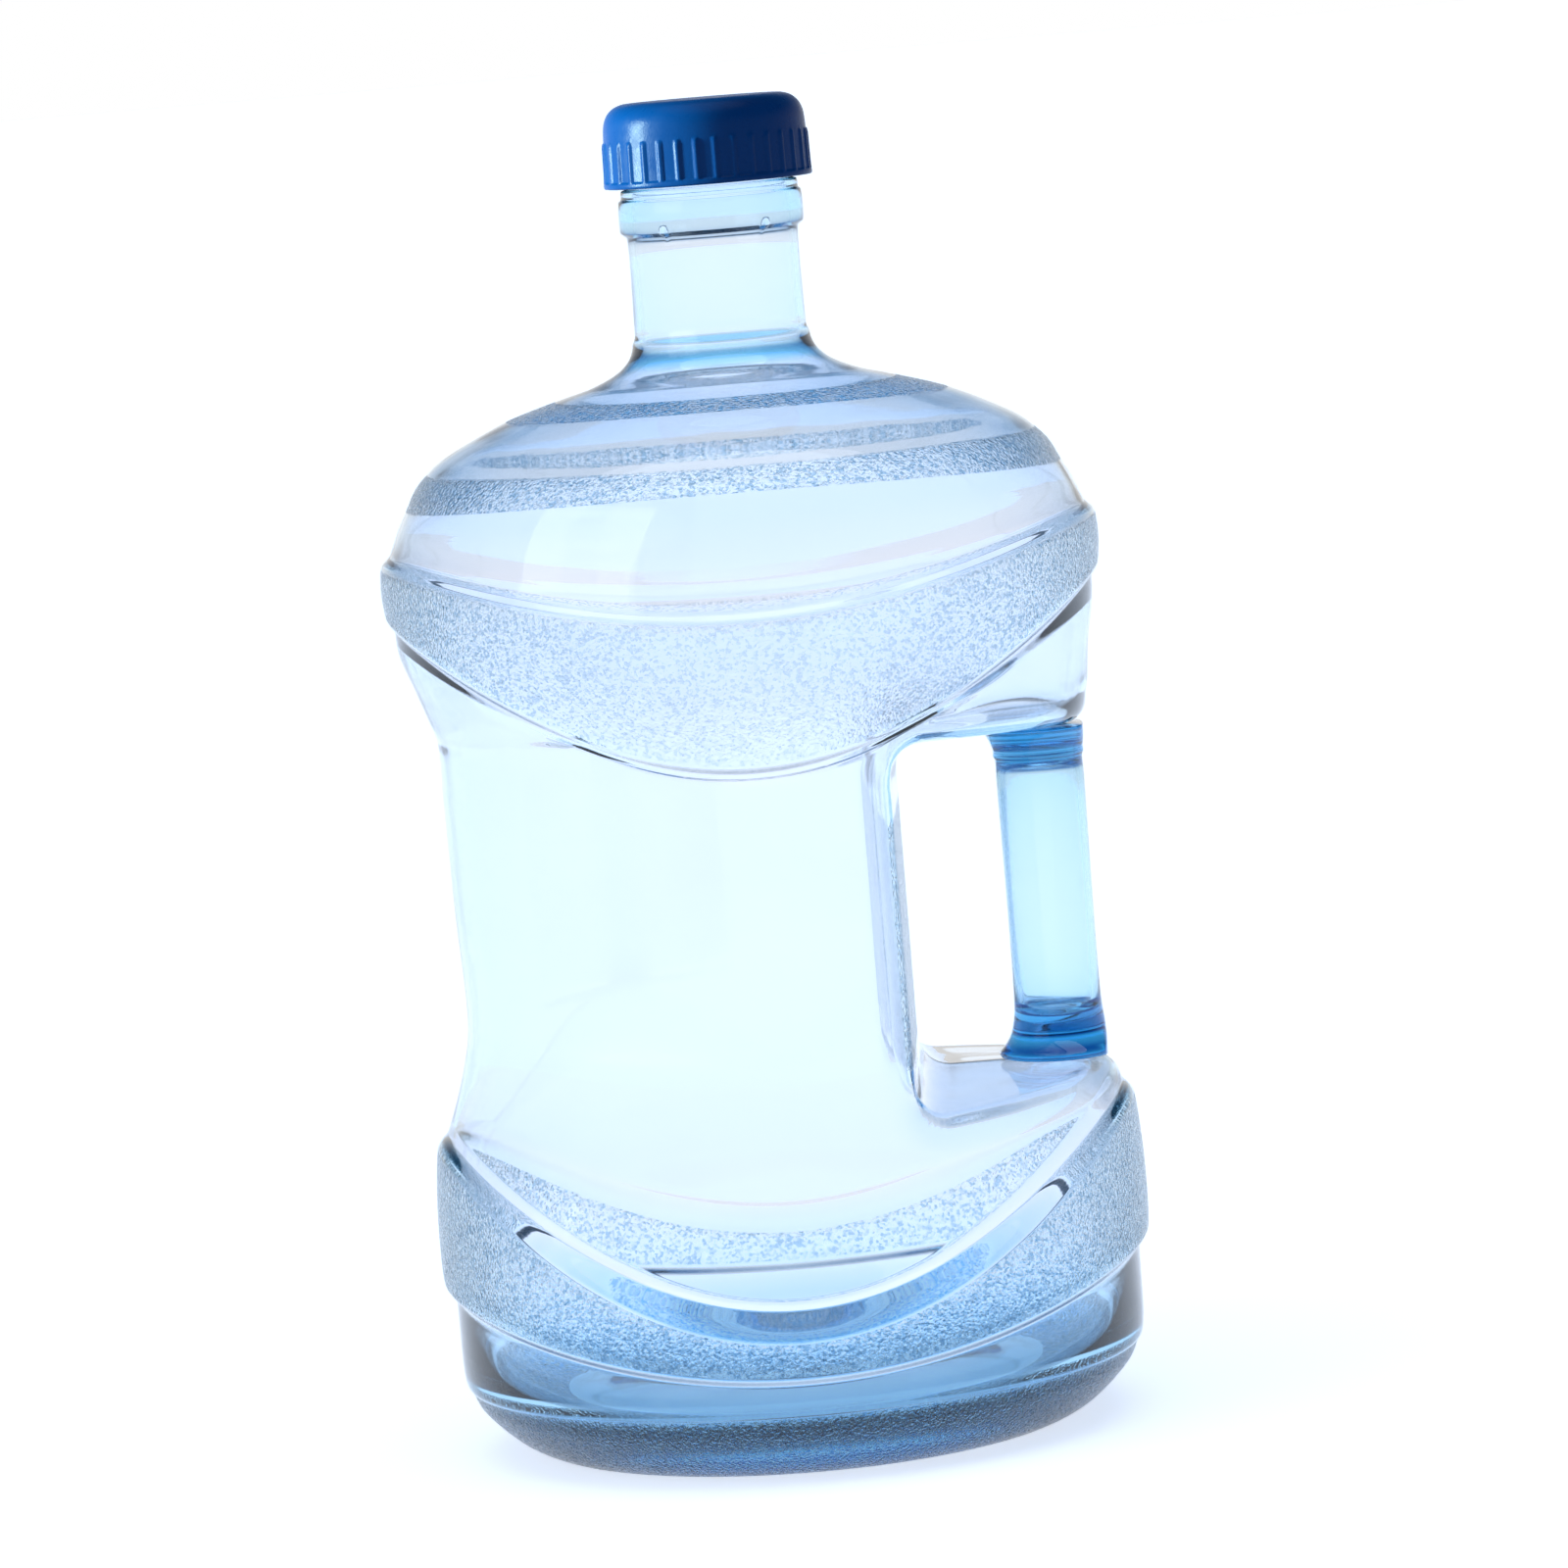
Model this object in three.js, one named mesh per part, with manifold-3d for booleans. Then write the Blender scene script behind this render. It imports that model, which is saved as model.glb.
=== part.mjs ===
// A clear moulded water jug of about seven litres, with a side grip and a screw cap.
// Millimetres, +Z up. The origin is the centre of the face the jug stands on.
// The grip is on the +X side and the front faces -Y.
import * as THREE from "three";
import { mergeVertices } from "three/addons/utils/BufferGeometryUtils.js";
import Module from "manifold-3d";

// ---- driving dimensions ----
const WALL = 1.6;
const SIDES = 48;
const GAP = 0.3;
const BULGE_R = 100;
const WAIST_R = 87;
const STAND_R_IN = 60;
const STAND_R_OUT = 72;
const NECK_R = 23.8;
const COLLAR_R = 25.4;
const FINISH_R = 23.3;
const BORE_R = 21.5;
const SHOULDER_END_Z = 308.4;
const COLLAR_Z = 337;
const FINISH_Z = 346.4;
const MOUTH_Z = 368.6;
const LUG_TURN = THREE.MathUtils.degToRad(33.75);

const RECESS_X = 38.8;
const RECESS_FLOOR_Z = 99;
const RECESS_CEILING_Z = 192;
const RECESS_CORNER_R = 9;
const WALL_DRAFT = 0.04;
const SHELF_DRAFT = 0.06;

const GRIP_X = 78.6;
const GRIP_R = 12.3;
const GRIP_DEPTH_SCALE = 1.1;
const PEG_R = 8;
const PEG_LENGTH = 4.5;

const CAP_BOTTOM_Z = 349.9;
const CAP_TOP_Z = 373.1;
const CAP_R = 28.3;
const CAP_RIM_R = 28.9;
const CAP_BORE_R = 26.2;
const CAP_TOP_WALL = 2.1;
const RIB_COUNT = 34;
const CAP_SIDES = 72;
const THREAD_LEAD = 6;
const THREAD_CREST_R = 25;
const CAP_THREAD_CREST_R = 24;

const wasm = await Module();
wasm.setup();

// ---- solids and meshes ----
// one vertex for each place, and no triangle that has closed up to a line
function welded(geometry, tolerance) {
  const bare = geometry.clone();
  bare.deleteAttribute("normal");
  bare.deleteAttribute("uv");
  const merged = mergeVertices(bare, tolerance);
  const corners = merged.index.array;
  const kept = [];
  for (let i = 0; i < corners.length; i += 3) {
    const [a, b, c] = [corners[i], corners[i + 1], corners[i + 2]];
    if (a !== b && b !== c && c !== a) kept.push(a, b, c);
  }
  merged.setIndex(kept);
  return merged;
}

function toSolid(geometry) {
  const merged = welded(geometry, 1e-4);
  return new wasm.Manifold(new wasm.Mesh({
    numProp: 3,
    vertProperties: new Float32Array(merged.attributes.position.array),
    triVerts: new Uint32Array(merged.index.array),
  }));
}

function toGeometry(solid) {
  const mesh = solid.getMesh();
  const geometry = new THREE.BufferGeometry();
  geometry.setAttribute("position", new THREE.BufferAttribute(new Float32Array(mesh.vertProperties), 3));
  geometry.setIndex(new THREE.BufferAttribute(new Uint32Array(mesh.triVerts), 1));
  const clean = welded(geometry, 1e-3);
  clean.computeVertexNormals();
  return clean;
}

function turned(outline, segments) {
  const points = outline.map(([r, z]) => new THREE.Vector2(r, z));
  return new THREE.LatheGeometry(points, segments).rotateX(Math.PI / 2);
}

function cylinder(radius, lowZ, highZ, segments) {
  const geometry = new THREE.CylinderGeometry(radius, radius, highZ - lowZ, segments);
  return geometry.rotateX(Math.PI / 2).translate(0, 0, (lowZ + highZ) / 2);
}

// ---- the jug's outside: rows of points whose height and radius change around the jug ----
// turn is the angle from the front: 0 at -Y, a quarter turn at the grip.
const mix = (a, b, t) => a + (b - a) * t;
const facing = (turn, power) => Math.abs(Math.cos(turn)) ** power;
const gripSide = (turn) => Math.max(0, Math.sin(turn)) ** 6;

const lowerWaveBottom = (turn) => 48 - 18.5 * facing(turn, 2);
const lowerWaveTop = (turn) => 89 - 47.5 * facing(turn, 2.1);
const lowerBevel = (turn) => lowerWaveTop(turn) + 2.5 + 4 * facing(turn, 2);
const upperWaveBottom = (turn) => 235 - 41 * facing(turn, 2);
const upperWaveFoot = (turn) => upperWaveBottom(turn) - 1.8;
const upperWaveTop = (turn) => 252 - 16 * facing(turn, 2.5);
const shelf = (turn) => Math.min(202.5, upperWaveBottom(turn) - 3);
const WAIST_LOW_Z = 120;

const level = (z, r, inside = true) => ({ height: () => z, side: r, front: r, grip: r, inside });
const bent = (height, side, front, grip = side, inside = true) => ({ height, side, front, grip, inside });

const ROWS = [
  level(7, 0),
  level(6, 30),
  level(0, STAND_R_IN),
  level(0, STAND_R_OUT),
  level(3.3, 80),
  level(7.1, 85),
  level(11, 89),
  level(15, 92.4),
  level(20, 94.6),
  bent(() => 25.5, 95.7, 95.2, 95.7, false),
  bent((t) => lowerWaveBottom(t) - 1.7, 96.4, 95.6, 96.4),
  bent((t) => lowerWaveBottom(t) + 1.5, 98.9, 98.4, 98.9, false),
  bent((t) => mix(lowerWaveBottom(t), lowerWaveTop(t), 0.55), 99.2, 98.8),
  bent((t) => lowerWaveTop(t) - 1, 97.2, 98.2, 97.4, false),
  bent(lowerBevel, 94.4, 93, 94.8),
  bent((t) => mix(lowerBevel(t), WAIST_LOW_Z, 0.35), 91, 90, 92),
  bent((t) => mix(lowerBevel(t), WAIST_LOW_Z, 0.65), 88.3, 87.9, 91.5),
  bent(() => WAIST_LOW_Z, WAIST_R - 0.6, WAIST_R - 0.6, 91),
  bent(() => 160, WAIST_R + 0.4, WAIST_R + 0.4, 91, false),
  bent(() => 185, WAIST_R + 0.8, WAIST_R + 0.7, 92),
  bent(shelf, WAIST_R + 1.2, WAIST_R + 0.9, 93.4),
  bent((t) => mix(shelf(t), upperWaveFoot(t), 0.4), 92.8, 88.3, 94.8),
  bent((t) => mix(shelf(t), upperWaveFoot(t), 0.76), 96.8, 88.5, 97, false),
  bent(upperWaveFoot, 97.2, 88.7, 97.2),
  bent((t) => upperWaveBottom(t) + 1.5, 99.2, 90.3, 99.2, false),
  bent((t) => mix(upperWaveBottom(t), upperWaveTop(t), 0.5), BULGE_R, 96.4),
  bent((t) => upperWaveTop(t) - 1, 99.3, 99.3),
  bent((t) => upperWaveTop(t) + 2, 96.8, 97.3, 96.8, false),
  level(261.6, 92.7),
  level(271.4, 88.2),
  level(278, 81.4),
  level(284, 70.5),
  level(288, 61.5),
  level(292.4, 47.5),
  level(295.6, 36.5),
  level(299.3, 28.7),
  level(303.5, 25.2),
  level(306, 24.8, false),
  level(SHOULDER_END_Z, NECK_R),
  level(COLLAR_Z - 0.8, NECK_R, false),
  level(COLLAR_Z, COLLAR_R, false),
  level(FINISH_Z - 0.4, COLLAR_R, false),
  level(FINISH_Z, 24.7, false),
  level(FINISH_Z + 2.6, 24.7, false),
  level(FINISH_Z + 3, FINISH_R),
  level(MOUTH_Z - 0.8, FINISH_R),
  level(MOUTH_Z, FINISH_R - 0.7, false),
  level(MOUTH_Z, 0, false),
];

function rowPoint(row, turn) {
  const toFront = facing(turn, 2);
  const plain = mix(row.side, row.front, toFront);
  const radius = plain + (row.grip - row.side) * gripSide(turn);
  return new THREE.Vector2(radius, row.height(turn));
}

// the same rows moved inwards by the wall's thickness, square to the outside
function innerColumn(turn) {
  const outer = ROWS.filter((row) => row.inside).map((row) => rowPoint(row, turn));
  const inner = outer.map((point, i) => {
    const before = outer[Math.max(i - 1, 0)];
    const after = outer[Math.min(i + 1, outer.length - 1)];
    const along = after.clone().sub(before).normalize();
    return new THREE.Vector2(point.x - WALL * along.y, point.y + WALL * along.x);
  });
  inner[0].set(0, outer[0].y + WALL);
  inner[inner.length - 1].set(BORE_R, MOUTH_Z + 5);
  inner.push(new THREE.Vector2(0, MOUTH_Z + 5));
  return inner;
}

// a lathe whose columns of points are set one by one
function shapedLathe(columnAt) {
  const rowCount = columnAt(0).length;
  const markers = Array.from({ length: rowCount }, (unused, i) => new THREE.Vector2(i === 0 ? 0 : 1, i));
  const geometry = new THREE.LatheGeometry(markers, SIDES);
  const position = geometry.attributes.position;
  for (let side = 0; side <= SIDES; side += 1) {
    const turn = ((side % SIDES) * 2 * Math.PI) / SIDES;
    const column = columnAt(turn);
    column.forEach((point, i) => {
      const x = point.x * Math.sin(turn);
      const y = -point.x * Math.cos(turn);
      position.setXYZ(side * rowCount + i, x, y, point.y);
    });
  }
  return toSolid(geometry);
}

// ---- the hand recess: drafted both ways from the mid plane, as a mould leaves it ----
function recessCutter(grow) {
  const left = RECESS_X - grow;
  const right = 130;
  const low = RECESS_FLOOR_Z - grow;
  const high = RECESS_CEILING_Z + grow;
  const corner = RECESS_CORNER_R + grow;
  const outline = new THREE.Shape();
  outline.moveTo(right, low);
  outline.lineTo(right, high);
  outline.lineTo(left + corner, high);
  outline.absarc(left + corner, high - corner, corner, Math.PI / 2, Math.PI, false);
  outline.lineTo(left, low + corner);
  outline.absarc(left + corner, low + corner, corner, Math.PI, Math.PI * 1.5, false);
  const reach = 110;
  const block = new THREE.ExtrudeGeometry(outline, {
    depth: 2 * reach,
    steps: 2,
    bevelEnabled: false,
    curveSegments: 5,
  });
  block.rotateX(Math.PI / 2).translate(0, reach, 0);
  const position = block.attributes.position;
  const middle = (RECESS_FLOOR_Z + RECESS_CEILING_Z) / 2;
  for (let i = 0; i < position.count; i += 1) {
    const away = Math.abs(position.getY(i));
    const z = position.getZ(i);
    const x = position.getX(i);
    if (x < right - 1) position.setX(i, x - away * WALL_DRAFT);
    position.setZ(i, z + Math.sign(z - middle) * away * SHELF_DRAFT);
  }
  const sockets = cylinder(
    PEG_R + GAP + grow,
    RECESS_FLOOR_Z - PEG_LENGTH - GAP - grow,
    RECESS_CEILING_Z + PEG_LENGTH + GAP + grow,
    32,
  );
  return toSolid(block).add(toSolid(sockets.translate(GRIP_X, 0, 0)));
}

// ---- screw thread: a right-hand ridge, a straight bar bent along a helix ----
// facets is how many flats the round wall under it has: its own corners fall half way along them
function threadRidge(baseR, crestR, startZ, turns, facets) {
  const steps = Math.round((turns * facets) / 2);
  const ridge = new THREE.BoxGeometry(1, 1, 1, steps, 1, 1);
  const position = ridge.attributes.position;
  for (let i = 0; i < position.count; i += 1) {
    const along = (0.5 - position.getX(i)) * turns;
    const atCrest = position.getY(i) > 0 === crestR > baseR;
    const nearEnd = Math.min(along, turns - along);
    const fade = THREE.MathUtils.clamp(0.1 + nearEnd * 10, 0.1, 1);
    const radius = atCrest ? mix(baseR, crestR, fade) : baseR;
    const angle = along * 2 * Math.PI + Math.PI / facets;
    const half = atCrest ? 0.5 : 1.2;
    const z = startZ + along * THREAD_LEAD + Math.sign(position.getZ(i)) * half;
    position.setXYZ(i, radius * Math.cos(angle), radius * Math.sin(angle), z);
  }
  return toSolid(ridge);
}

// ---- the pieces ----
function bottleShell() {
  const outside = shapedLathe((turn) => ROWS.map((row) => rowPoint(row, turn)));
  const inside = shapedLathe(innerColumn);
  const wall = outside.subtract(recessCutter(0)).subtract(inside.subtract(recessCutter(WALL)));
  const thread = threadRidge(FINISH_R - 0.6, THREAD_CREST_R, 353, 1.75, SIDES);
  const lugs = [-LUG_TURN, LUG_TURN].map((turn) => {
    const lug = new THREE.SphereGeometry(1.1, 9, 6).translate(0, -COLLAR_R, 0);
    return toSolid(lug.rotateZ(turn).translate(0, 0, COLLAR_Z + 0.1));
  });
  return lugs.reduce((sum, lug) => sum.add(lug), wall.add(thread));
}

function handleGrip() {
  const low = RECESS_FLOOR_Z + GAP;
  const high = RECESS_CEILING_Z - GAP;
  const bar = turned([
    [0, low],
    [17.5, low],
    [17, low + 1.5],
    [14.2, low + 5],
    [12.8, low + 9],
    [GRIP_R, low + 13],
    [GRIP_R, high - 8],
    [GRIP_R + 0.7, high - 6.5],
    [GRIP_R + 1, high - 3],
    [15.5, high],
    [0, high],
  ], 40);
  const oval = toSolid(bar.scale(1, GRIP_DEPTH_SCALE, 1).translate(GRIP_X, 0, 0));
  const jugSide = toSolid(cylinder(GRIP_X + GRIP_R + 0.7, low - 1, high + 1, 90));
  const pegs = cylinder(PEG_R, RECESS_FLOOR_Z - PEG_LENGTH, RECESS_CEILING_Z + PEG_LENGTH, 32);
  return oval.intersect(jugSide).add(toSolid(pegs.translate(GRIP_X, 0, 0)));
}

function capShell() {
  const body = toSolid(turned([
    [0, CAP_TOP_Z - CAP_TOP_WALL],
    [CAP_BORE_R, CAP_TOP_Z - CAP_TOP_WALL],
    [CAP_BORE_R, CAP_BOTTOM_Z + 0.6],
    [CAP_BORE_R + 0.6, CAP_BOTTOM_Z],
    [CAP_RIM_R, CAP_BOTTOM_Z],
    [CAP_RIM_R, CAP_BOTTOM_Z + 1.3],
    [CAP_R, CAP_BOTTOM_Z + 1.7],
    [CAP_R, CAP_TOP_Z - 9],
    [27.8, CAP_TOP_Z - 5.6],
    [26.8, CAP_TOP_Z - 2.9],
    [24.8, CAP_TOP_Z - 0.9],
    [22, CAP_TOP_Z],
    [0, CAP_TOP_Z],
  ], CAP_SIDES));
  const ribLow = CAP_BOTTOM_Z + 1;
  const ribHigh = CAP_TOP_Z - 10.6;
  const rib = new THREE.BoxGeometry(1.2, 1, ribHigh - ribLow);
  rib.translate(CAP_R - 0.25, 0, (ribLow + ribHigh) / 2);
  let solid = body;
  for (let i = 0; i < RIB_COUNT; i += 1) {
    solid = solid.add(toSolid(rib.clone().rotateZ((i * 2 * Math.PI) / RIB_COUNT)));
  }
  return solid.add(threadRidge(CAP_BORE_R + 0.4, CAP_THREAD_CREST_R, 356, 1.25, CAP_SIDES));
}

function capLiner() {
  const low = MOUTH_Z + GAP;
  const high = CAP_TOP_Z - CAP_TOP_WALL - GAP;
  return toSolid(turned([
    [0, low],
    [25, low],
    [25.4, low + 0.4],
    [25.4, high - 0.4],
    [25, high],
    [0, high],
  ], 36));
}

// ---- named pieces with their materials ----
const clearBlue = { color: 0xcfe8f7, roughness: 0.08, metalness: 0 };
const gripBlue = { color: 0x9fd6f4, roughness: 0.1, metalness: 0 };
const capBlue = { color: 0x0f57a8, roughness: 0.32, metalness: 0 };
const linerWhite = { color: 0xeef1f2, roughness: 0.6, metalness: 0 };

const group = new THREE.Group();
function piece(name, solid, look) {
  const mesh = new THREE.Mesh(toGeometry(solid), new THREE.MeshStandardMaterial(look));
  mesh.name = name;
  group.add(mesh);
}

piece("bottle_shell", bottleShell(), clearBlue);
piece("handle_grip", handleGrip(), gripBlue);
piece("cap_shell", capShell(), capBlue);
piece("cap_liner", capLiner(), linerWhite);

export default group;
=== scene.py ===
"""The looks of a large clear water jug with a hand recess, a grip bar and a blue screw cap.

Lengths are in millimetres until a mesh is made, +Z up, the grip on +X and the front facing -Y.
"""
import math

import bpy
import numpy as np
from mathutils import Matrix, Vector


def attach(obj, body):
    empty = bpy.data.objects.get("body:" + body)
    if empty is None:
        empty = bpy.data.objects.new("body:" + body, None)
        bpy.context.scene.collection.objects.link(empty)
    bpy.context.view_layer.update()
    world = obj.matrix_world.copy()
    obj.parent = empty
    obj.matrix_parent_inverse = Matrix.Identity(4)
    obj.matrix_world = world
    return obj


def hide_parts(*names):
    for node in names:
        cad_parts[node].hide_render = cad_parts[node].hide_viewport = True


MM = 0.001

# ---- the jug's measures, as in the CAD model ----
WALL = 1.6
BULGE_R = 100.0
WAIST_R = 87.0
NECK_R = 23.8
COLLAR_R = 25.4
FINISH_R = 23.3
COLLAR_Z = 337.0
FINISH_Z = 346.4
MOUTH_Z = 368.6
RECESS_X = 38.8
RECESS_FLOOR_Z = 99.0
RECESS_CEILING_Z = 192.0
RECESS_CORNER_R = 9.0
RECESS_EDGE_R = 7.0
WALL_DRAFT = 0.04
SHELF_DRAFT = 0.06
GRIP_X = 78.6
GRIP_R = 12.3
GRIP_DEPTH_SCALE = 1.1
CAP_BOTTOM_Z = 349.9
CAP_TOP_Z = 373.1
CAP_R = 28.3
CAP_RIM_R = 28.9
CAP_BORE_R = 26.2
CAP_TOP_WALL = 2.1
RIB_COUNT = 34
THREAD_LEAD = 6.0

# ---- how the wall's thickness changes, for the looks only ----
THIN_WALL = 0.8
NECK_WALL = 2.2
BORE_LOW_Z = 306
BASE_EXTRA = 4.0
BASE_EXTRA_TOP_Z = 19
BASE_EXTRA_FADE = 9
NECK_FOOT_EXTRA = 2.2
NECK_FOOT_Z = 302
NECK_FOOT_FADE = 6
BASE_EASING = 60
SHOULDER_EASING = 8
NECK_FOOT_EASING = 22
LAST_EASING = 6

# ---- how finely the skins are drawn ----
COLUMNS = 288
ZONE_ROWS = 190
JOIN_ROWS = 18
GRIP_COLUMNS = 96
LINER_COLUMNS = 128
COLUMNS_PER_RIB = 12
END_CROWDING = 0.88

# ---- the thread's ridges, the lugs and the frosted strips ----
RIDGE_HALF = 1.15
RIDGE_FLANK = 0.7
NECK_THREAD_START = 353.0
NECK_THREAD_TURNS = 1.75
NECK_THREAD_HEIGHT = 1.7
CAP_THREAD_START = 356.0
CAP_THREAD_TURNS = 1.25
CAP_THREAD_HEIGHT = 2.1
LUG_R = 1.6
LUG_DROP = 0.7
LUG_HEIGHT_SHARE = 0.8
LUG_X = (-13.3, 14.7)
RECESS_GRAIN_LOW_Z = 108
RECESS_GRAIN_HIGH_Z = 176
# Between these heights the grain fades by up to half towards the front and back middle, so those parts of the
# bands are paler and clearer
GRAIN_FADE_LOW_Z = 185
GRAIN_FADE_HIGH_Z = 262
GRAIN_FADE_SHARE = 0.5
GRAIN_FADE_REACH = 80

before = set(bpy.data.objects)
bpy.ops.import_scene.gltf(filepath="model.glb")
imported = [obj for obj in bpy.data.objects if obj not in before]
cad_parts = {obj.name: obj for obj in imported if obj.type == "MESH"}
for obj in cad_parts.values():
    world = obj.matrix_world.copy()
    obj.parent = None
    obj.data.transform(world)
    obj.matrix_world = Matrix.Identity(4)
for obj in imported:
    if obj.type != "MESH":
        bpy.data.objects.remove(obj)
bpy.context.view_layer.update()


# ---- small helpers ----
def mix(a, b, t):
    return a + (b - a) * t


def smooth_curve(points, steps):
    """A round curve through rows of points, with steps[i] stretches between point i and the next.

    points has shape (rows, 2, columns). The stretches follow a centripetal Catmull-Rom spline.
    """
    first = 2 * points[0] - points[1]
    last = 2 * points[-1] - points[-2]
    padded = np.concatenate([first[None], points, last[None]])
    made = []
    for i, count in enumerate(steps):
        p0, p1, p2, p3 = padded[i:i + 4]
        t1 = np.sqrt(np.linalg.norm(p1 - p0, axis=0)) + 1e-6
        t2 = t1 + np.sqrt(np.linalg.norm(p2 - p1, axis=0)) + 1e-6
        t3 = t2 + np.sqrt(np.linalg.norm(p3 - p2, axis=0)) + 1e-6
        for k in range(count):
            t = t1 + (t2 - t1) * k / count
            a1 = mix(p0, p1, t / t1)
            a2 = mix(p1, p2, (t - t1) / (t2 - t1))
            a3 = mix(p2, p3, (t - t2) / (t3 - t2))
            b1 = mix(a1, a2, t / t2)
            b2 = mix(a2, a3, (t - t1) / (t3 - t1))
            made.append(mix(b1, b2, (t - t1) / (t2 - t1)))
    made.append(points[-1])
    return np.array(made)


def mesh_object(name, vertices, faces):
    """A smooth-shaded object made from points in metres and faces."""
    mesh = bpy.data.meshes.new(name)
    mesh.from_pydata([tuple(v) for v in vertices], [], faces)
    mesh.update()
    mesh.polygons.foreach_set("use_smooth", [True] * len(mesh.polygons))
    thing = bpy.data.objects.new(name, mesh)
    bpy.context.scene.collection.objects.link(thing)
    return thing


def grid_faces(rows, columns, flip=False):
    """Faces of a sheet of rows x columns points whose columns close into a ring."""
    faces = []
    for i in range(rows - 1):
        for j in range(columns):
            k = (j + 1) % columns
            face = (i * columns + j, i * columns + k, (i + 1) * columns + k, (i + 1) * columns + j)
            faces.append(face[::-1] if flip else face)
    return faces


# ---- the jug's outside, as heights and radii that change around it ----
TURN = np.arange(COLUMNS) * 2 * math.pi / COLUMNS
SIN, COS = np.sin(TURN), np.cos(TURN)


def facing(power):
    """1 at the front and back, and 0 at the two sides."""
    return np.abs(COS) ** power


GRIP_SIDE = np.maximum(SIN, 0) ** 6
LOWER_WAVE_BOTTOM = 48 - 18.5 * facing(2)
LOWER_WAVE_TOP = 89 - 47.5 * facing(2.1)
LOWER_BEVEL = LOWER_WAVE_TOP + 2.5 + 4 * facing(2)
UPPER_WAVE_BOTTOM = 235 - 41 * facing(2)
UPPER_WAVE_FOOT = UPPER_WAVE_BOTTOM - 1.8
UPPER_WAVE_TOP = 252 - 16 * facing(2.5)
SHELF = np.minimum(202.5, UPPER_WAVE_BOTTOM - 3)
BAND_B_LOW = 265.7 + 3.2 * facing(2)
BAND_A_LOW = 288 + 1.2 * facing(2)


def row(height, side, front=None, grip=None):
    """One row of points: its height, and its radius at the sides, at the front and back, and at the grip."""
    front = side if front is None else front
    grip = side if grip is None else grip
    radius = mix(side, front, facing(2)) + (grip - side) * GRIP_SIDE
    return np.array([radius + 0 * COS, height + 0 * COS])


def grained_rows(steps, stretches):
    """Which of a curve's rows of faces are grained: those between the two points of each stretch."""
    edges = np.cumsum([0] + steps)
    grained = np.zeros(edges[-1], bool)
    for first, last in stretches:
        grained[edges[first]:edges[last]] = True
    return grained


def lower_rows():
    """From the middle of the base up to the bevel over the lower wave, and which rows are grained."""
    band_mid = mix(LOWER_WAVE_BOTTOM, LOWER_WAVE_TOP, 0.5)
    points = [
        row(7.0, 2.0), row(6.0, 30), row(1.2, 54), row(0, 60), row(0, 72),
        row(3.3, 80), row(7.1, 85), row(11, 89), row(15, 92.2), row(19.2, 94.0),
        row(20.2, 94.9), row(24.5, 95.7, 95.3),
        row(LOWER_WAVE_BOTTOM - 1.6, 96.3, 95.5), row(LOWER_WAVE_BOTTOM - 0.9, 96.7, 95.9),
        row(LOWER_WAVE_BOTTOM + 0.6, 98.4, 97.8), row(LOWER_WAVE_BOTTOM + 1.6, 98.9, 98.4),
        row(band_mid, 99.3, 98.9),
        row(LOWER_WAVE_TOP - 1.6, 97.6, 98.6, 97.8), row(LOWER_WAVE_TOP - 0.5, 97.0, 98.2, 97.3),
        row(LOWER_BEVEL - 0.6, 94.8, 93.6, 95.2), row(LOWER_BEVEL + 0.3, 94.3, 92.9, 94.7),
    ]
    steps = [8, 6, 3, 3, 4, 3, 3, 3, 3, 2, 4, 6, 2, 3, 2, 16, 16, 2, 5, 2]
    rows = smooth_curve(np.array(points), steps)
    rows[:, 1] = np.maximum(rows[:, 1], 0)
    return rows, grained_rows(steps, [(4, 9), (15, 17)])


def waist_rows():
    """From the bevel over the lower wave up to the foot of the upper wave, before the recess is cut."""
    points = [
        row(LOWER_BEVEL + 0.3, 94.3, 92.9, 94.7),
        row(mix(LOWER_BEVEL, 120, 0.33), 91, 90.2, 92.5),
        row(mix(LOWER_BEVEL, 120, 0.65), 88.3, 88, 91.5),
        row(120, WAIST_R - 0.6, WAIST_R - 0.6, 91),
        row(155, WAIST_R + 0.3, WAIST_R + 0.3, 91),
        row(182, WAIST_R + 0.7, WAIST_R + 0.6, 92),
        row(SHELF - 1.2, WAIST_R + 1.0, WAIST_R + 0.8, 93.2),
        row(SHELF + 0.4, WAIST_R + 1.5, WAIST_R + 1.0, 93.7),
        row(mix(SHELF + 0.4, UPPER_WAVE_FOOT, 0.4), 92.6, 88.2, 94.9),
        row(mix(SHELF + 0.4, UPPER_WAVE_FOOT, 0.78), 96.6, 88.4, 96.9),
        row(UPPER_WAVE_FOOT, 97.2, 88.6, 97.3),
    ]
    return smooth_curve(np.array(points), [10] * 10)


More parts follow.
